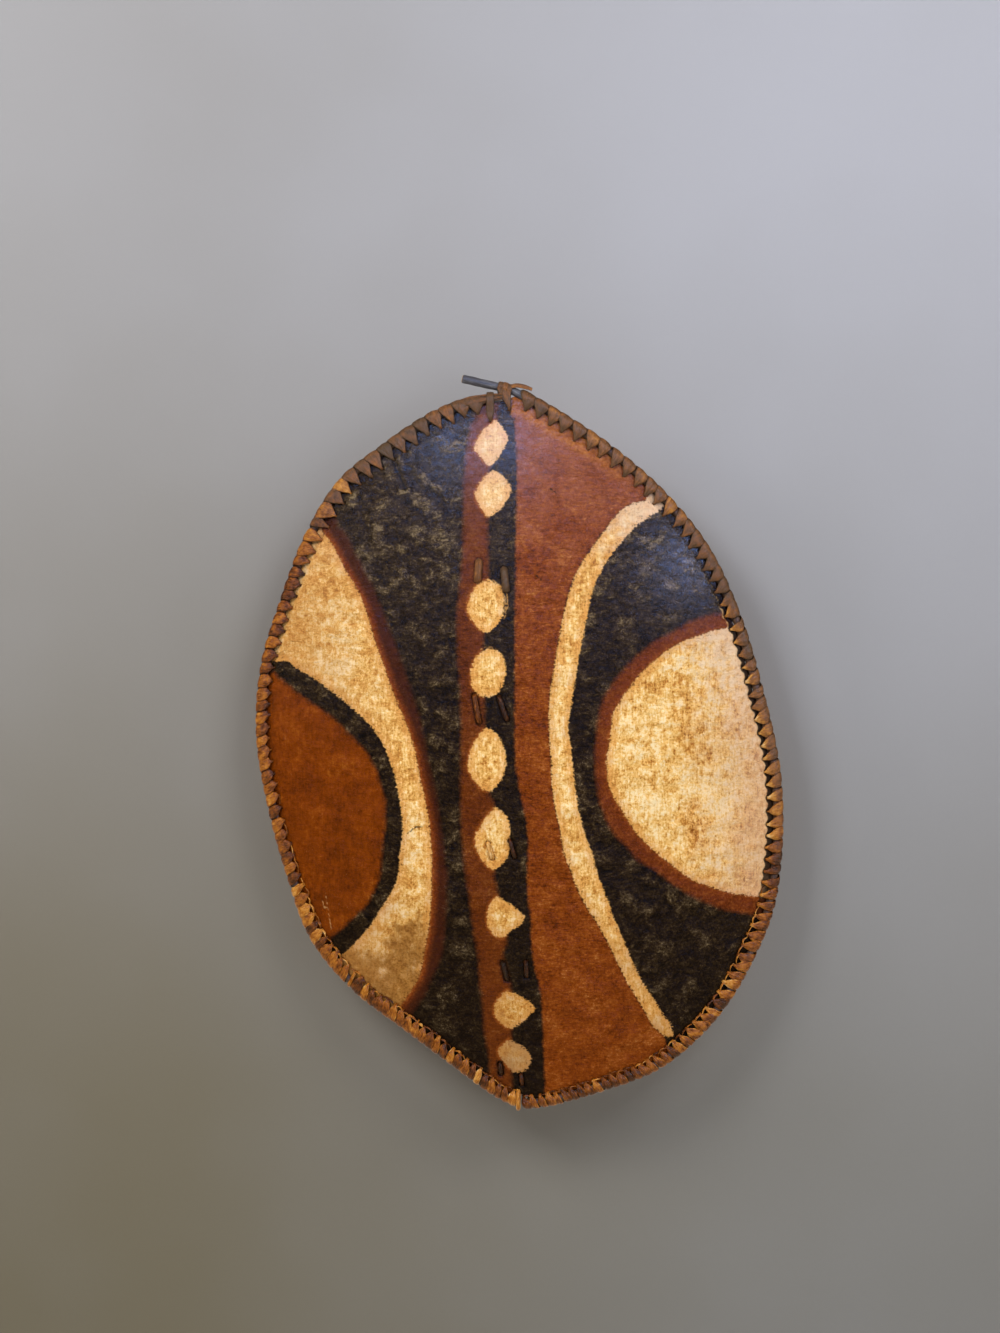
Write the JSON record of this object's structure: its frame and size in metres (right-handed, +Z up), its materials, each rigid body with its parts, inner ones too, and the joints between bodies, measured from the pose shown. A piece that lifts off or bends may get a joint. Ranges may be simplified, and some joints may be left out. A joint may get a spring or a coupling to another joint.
{
  "type": "hide shield",
  "caption": "Dished rawhide shield with a traditional painted front, laced to bent rim rods and lashed to a wooden stave that bows out as the hand grip.",
  "frame": {"origin": "middle of the hand grip behind the hide", "axes": "+Z up along the stave, the painted front faces -Y, +X to the right seen from the front"},
  "size_m": [0.5191, 0.0637, 0.7154],
  "materials": {
    "painted_hide": "painted, semi-gloss, worn",
    "rim_wood": "peeled stick, dull",
    "stave_wood": "hand-worn, satin",
    "thong_hide": "twisted rawhide, dull",
    "lacing_hide": "dried rawhide strip, satin"
  },
  "bodies": {
    "root": {"hide_shell": "painted_hide", "rim_rod_left": "rim_wood", "rim_rod_right": "rim_wood", "carrying_stave": "stave_wood", "head_lashing": "thong_hide", "stave_thong_upper": "thong_hide", "stave_thong_above_grip": "thong_hide", "stave_thong_below_grip": "thong_hide", "stave_thong_lower": "thong_hide", "foot_lashing": "thong_hide", "foot_tie": "thong_hide", "lacing_left_foot": "lacing_hide", "lacing_left_lower": "lacing_hide", "lacing_left_middle": "lacing_hide", "lacing_left_shoulder": "lacing_hide", "lacing_left_crown": "lacing_hide", "lacing_right_foot": "lacing_hide", "lacing_right_lower": "lacing_hide", "lacing_right_middle": "lacing_hide", "lacing_right_shoulder": "lacing_hide", "lacing_right_crown": "lacing_hide"}
  },
  "joints": []
}
